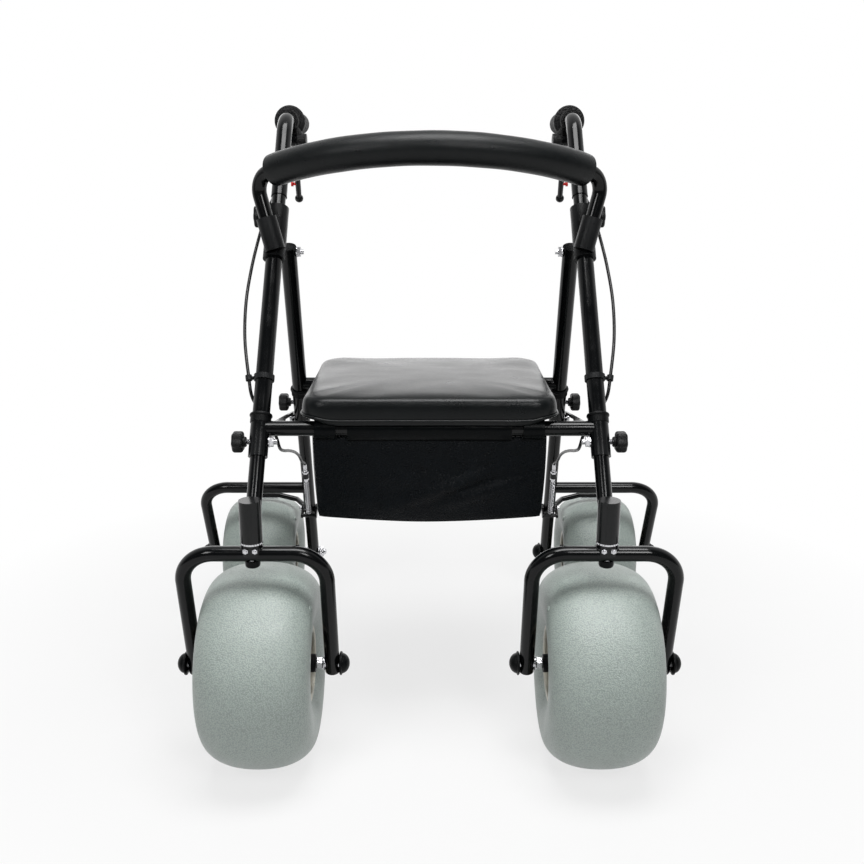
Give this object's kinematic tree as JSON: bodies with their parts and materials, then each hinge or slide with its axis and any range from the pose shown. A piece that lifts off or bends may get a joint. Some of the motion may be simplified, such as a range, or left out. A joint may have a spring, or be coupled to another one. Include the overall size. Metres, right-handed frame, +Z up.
{
  "type": "all terrain rollator",
  "caption": "Folding walking frame with padded seat, bow backrest, bag, cable brakes and balloon wheels for sand and grass, the front ones on casters.",
  "frame": {"origin": "on the ground, at the middle of the wheels' box", "axes": "+Z up, +Y towards the user, +X to the user's left"},
  "size_m": [0.9142, 0.78, 0.9615],
  "materials": {
    "frame_black": "gloss black powder coat",
    "trim_black": "black moulded plastic with a fine texture",
    "foam_black": "satin black foam",
    "grip_black": "textured black rubber",
    "vinyl_black": "black vinyl with a satin sheen",
    "bag_black": "black woven cloth",
    "chrome": "bright plated steel",
    "tyre_grey": "grey balloon tyre with a fine pebble grain",
    "hub_grey": "warm grey moulded hub",
    "button_red": "red button"
  },
  "bodies": {
    "front_frame": {"front_frame": "frame_black", "top_brackets": "trim_black", "front_collars": "trim_black", "cable_clips": "trim_black", "front_bolts": "chrome", "backrest_tube": "frame_black", "backrest_pad": "foam_black", "bag": "bag_black", "brake_cable_left": "trim_black", "brake_cable_right": "trim_black"},
    "seat": {"seat_board": "trim_black", "seat_cushion": "vinyl_black", "seat_saddles": "trim_black"},
    "rear_frame": {"rear_frame": "frame_black", "rear_collars": "trim_black", "rear_bolts": "chrome"},
    "stays": {"side_stays": "frame_black"},
    "front_leg_left": {"front_lower_leg_left": "frame_black"},
    "caster_left": {"caster_fork_left": "frame_black", "caster_stem_left": "chrome", "front_axle_left": "chrome"},
    "front_wheel_left": {"front_tyre_left": "tyre_grey", "front_hub_left": "hub_grey"},
    "rear_leg_left": {"rear_lower_leg_left": "frame_black", "rear_axle_left": "chrome", "cable_adjuster_left": "chrome", "brake_spring_left": "chrome"},
    "rear_wheel_left": {"rear_tyre_left": "tyre_grey", "rear_hub_left": "hub_grey"},
    "brake_arm_left": {"brake_arm_left": "frame_black"},
    "handle_left": {"handle_tube_left": "frame_black", "grip_left": "grip_black", "brake_perch_left": "trim_black"},
    "lever_left": {"brake_lever_left": "trim_black"},
    "button_left": {"lock_button_left": "button_red"},
    "front_knob_left": {"front_knob_left": "trim_black"},
    "rear_knob_left": {"rear_knob_left": "trim_black"},
    "handle_knob_left": {"handle_knob_left": "trim_black"},
    "front_leg_right": {"front_lower_leg_right": "frame_black"},
    "caster_right": {"caster_fork_right": "frame_black", "caster_stem_right": "chrome", "front_axle_right": "chrome"},
    "front_wheel_right": {"front_tyre_right": "tyre_grey", "front_hub_right": "hub_grey"},
    "rear_leg_right": {"rear_lower_leg_right": "frame_black", "rear_axle_right": "chrome", "cable_adjuster_right": "chrome", "brake_spring_right": "chrome"},
    "rear_wheel_right": {"rear_tyre_right": "tyre_grey", "rear_hub_right": "hub_grey"},
    "brake_arm_right": {"brake_arm_right": "frame_black"},
    "handle_right": {"handle_tube_right": "frame_black", "grip_right": "grip_black", "brake_perch_right": "trim_black"},
    "lever_right": {"brake_lever_right": "trim_black"},
    "button_right": {"lock_button_right": "button_red"},
    "front_knob_right": {"front_knob_right": "trim_black"},
    "rear_knob_right": {"rear_knob_right": "trim_black"},
    "handle_knob_right": {"handle_knob_right": "trim_black"}
  },
  "joints": [
    {"name": "fold", "type": "hinge", "parent": "front_frame", "child": "rear_frame", "pos_m": [0, -0.003, 0.735], "axis": [-1, 0, 0], "range_deg": [0, 18], "deforming": ["bag", "brake_cable_left", "brake_cable_right"]},
    {"name": "stays_turn", "type": "hinge", "parent": "front_frame", "child": "stays", "pos_m": [0, -0.16, 0.482], "axis": [-1, 0, 0], "range_deg": [0, 12.07]},
    {"name": "seat_flip", "type": "hinge", "parent": "front_frame", "child": "seat", "pos_m": [0, -0.19241, 0.5], "axis": [1, 0, 0], "range_deg": [0, 70]},
    {"name": "front_leg_slide_left", "type": "slide", "parent": "front_frame", "child": "front_leg_left", "axis": [0.0245, -0.5474, -0.8365], "range_m": [-0.02, 0.05]},
    {"name": "caster_swivel_left", "type": "hinge", "parent": "front_leg_left", "child": "caster_left", "pos_m": [0.247, -0.284, 0.39], "axis": [0, 0, 1], "continuous": true},
    {"name": "front_wheel_spin_left", "type": "hinge", "parent": "caster_left", "child": "front_wheel_left", "pos_m": [0.247, -0.24, 0.15], "axis": [1, 0, 0], "continuous": true},
    {"name": "rear_leg_slide_left", "type": "slide", "parent": "rear_frame", "child": "rear_leg_left", "axis": [0.0191, 0.4097, -0.912], "range_m": [-0.02, 0.05], "deforming": ["brake_cable_left"]},
    {"name": "rear_wheel_spin_left", "type": "hinge", "parent": "rear_leg_left", "child": "rear_wheel_left", "pos_m": [0.331, 0.276, 0.114], "axis": [1, 0, 0], "continuous": true},
    {"name": "handle_slide_left", "type": "slide", "parent": "front_frame", "child": "handle_left", "axis": [-0.0245, 0.5474, 0.8365], "range_m": [-0.015, 0.06], "deforming": ["brake_cable_left"]},
    {"name": "lever_squeeze_left", "type": "hinge", "parent": "handle_left", "child": "lever_left", "pos_m": [0.21063, 0.12973, 0.905], "axis": [1, 0, 0], "range_deg": [0, 20], "stiffness_Nm_per_rad": 2},
    {"name": "button_press_left", "type": "slide", "parent": "lever_left", "child": "button_left", "axis": [-0.9983, 0.0416, -0.0402], "range_m": [0, 0.002], "stiffness_N_per_m": 300},
    {"name": "brake_arm_turn_left", "type": "hinge", "parent": "rear_leg_left", "child": "brake_arm_left", "pos_m": [0.23168, 0.22613, 0.225], "axis": [-1, 0, 0], "range_deg": [0, 7], "deforming": ["brake_spring_left"]},
    {"name": "front_knob_turn_left", "type": "hinge", "parent": "front_frame", "child": "front_knob_left", "pos_m": [0.24492, -0.20354, 0.483], "axis": [1, 0, 0], "continuous": true},
    {"name": "rear_knob_turn_left", "type": "hinge", "parent": "rear_frame", "child": "rear_knob_left", "pos_m": [0.22669, 0.1192, 0.463], "axis": [1, 0, 0], "continuous": true},
    {"name": "handle_knob_turn_left", "type": "hinge", "parent": "front_frame", "child": "handle_knob_left", "pos_m": [0.23594, -0.0033, 0.789], "axis": [1, 0, 0], "continuous": true},
    {"name": "front_leg_slide_right", "type": "slide", "parent": "front_frame", "child": "front_leg_right", "axis": [-0.0245, -0.5474, -0.8365], "range_m": [-0.02, 0.05]},
    {"name": "caster_swivel_right", "type": "hinge", "parent": "front_leg_right", "child": "caster_right", "pos_m": [-0.247, -0.284, 0.39], "axis": [0, 0, 1], "continuous": true},
    {"name": "front_wheel_spin_right", "type": "hinge", "parent": "caster_right", "child": "front_wheel_right", "pos_m": [-0.247, -0.24, 0.15], "axis": [1, 0, 0], "continuous": true},
    {"name": "rear_leg_slide_right", "type": "slide", "parent": "rear_frame", "child": "rear_leg_right", "axis": [-0.0191, 0.4097, -0.912], "range_m": [-0.02, 0.05], "deforming": ["brake_cable_right"]},
    {"name": "rear_wheel_spin_right", "type": "hinge", "parent": "rear_leg_right", "child": "rear_wheel_right", "pos_m": [-0.331, 0.276, 0.114], "axis": [1, 0, 0], "continuous": true},
    {"name": "handle_slide_right", "type": "slide", "parent": "front_frame", "child": "handle_right", "axis": [0.0245, 0.5474, 0.8365], "range_m": [-0.015, 0.06], "deforming": ["brake_cable_right"]},
    {"name": "lever_squeeze_right", "type": "hinge", "parent": "handle_right", "child": "lever_right", "pos_m": [-0.21063, 0.12973, 0.905], "axis": [1, 0, 0], "range_deg": [0, 20], "stiffness_Nm_per_rad": 2},
    {"name": "button_press_right", "type": "slide", "parent": "lever_right", "child": "button_right", "axis": [0.9983, 0.0416, -0.0402], "range_m": [0, 0.002], "stiffness_N_per_m": 300},
    {"name": "brake_arm_turn_right", "type": "hinge", "parent": "rear_leg_right", "child": "brake_arm_right", "pos_m": [-0.23168, 0.22613, 0.225], "axis": [-1, 0, 0], "range_deg": [0, 7], "deforming": ["brake_spring_right"]},
    {"name": "front_knob_turn_right", "type": "hinge", "parent": "front_frame", "child": "front_knob_right", "pos_m": [-0.24492, -0.20354, 0.483], "axis": [-1, 0, 0], "continuous": true},
    {"name": "rear_knob_turn_right", "type": "hinge", "parent": "rear_frame", "child": "rear_knob_right", "pos_m": [-0.22669, 0.1192, 0.463], "axis": [-1, 0, 0], "continuous": true},
    {"name": "handle_knob_turn_right", "type": "hinge", "parent": "front_frame", "child": "handle_knob_right", "pos_m": [-0.23594, -0.0033, 0.789], "axis": [-1, 0, 0], "continuous": true}
  ],
  "couplings": [
    {"joint": "stays_turn", "follows": "fold", "ratio": 0.668},
    {"joint": "brake_arm_turn_left", "follows": "lever_squeeze_left", "ratio": 0.35},
    {"joint": "brake_arm_turn_right", "follows": "lever_squeeze_right", "ratio": 0.35}
  ]
}
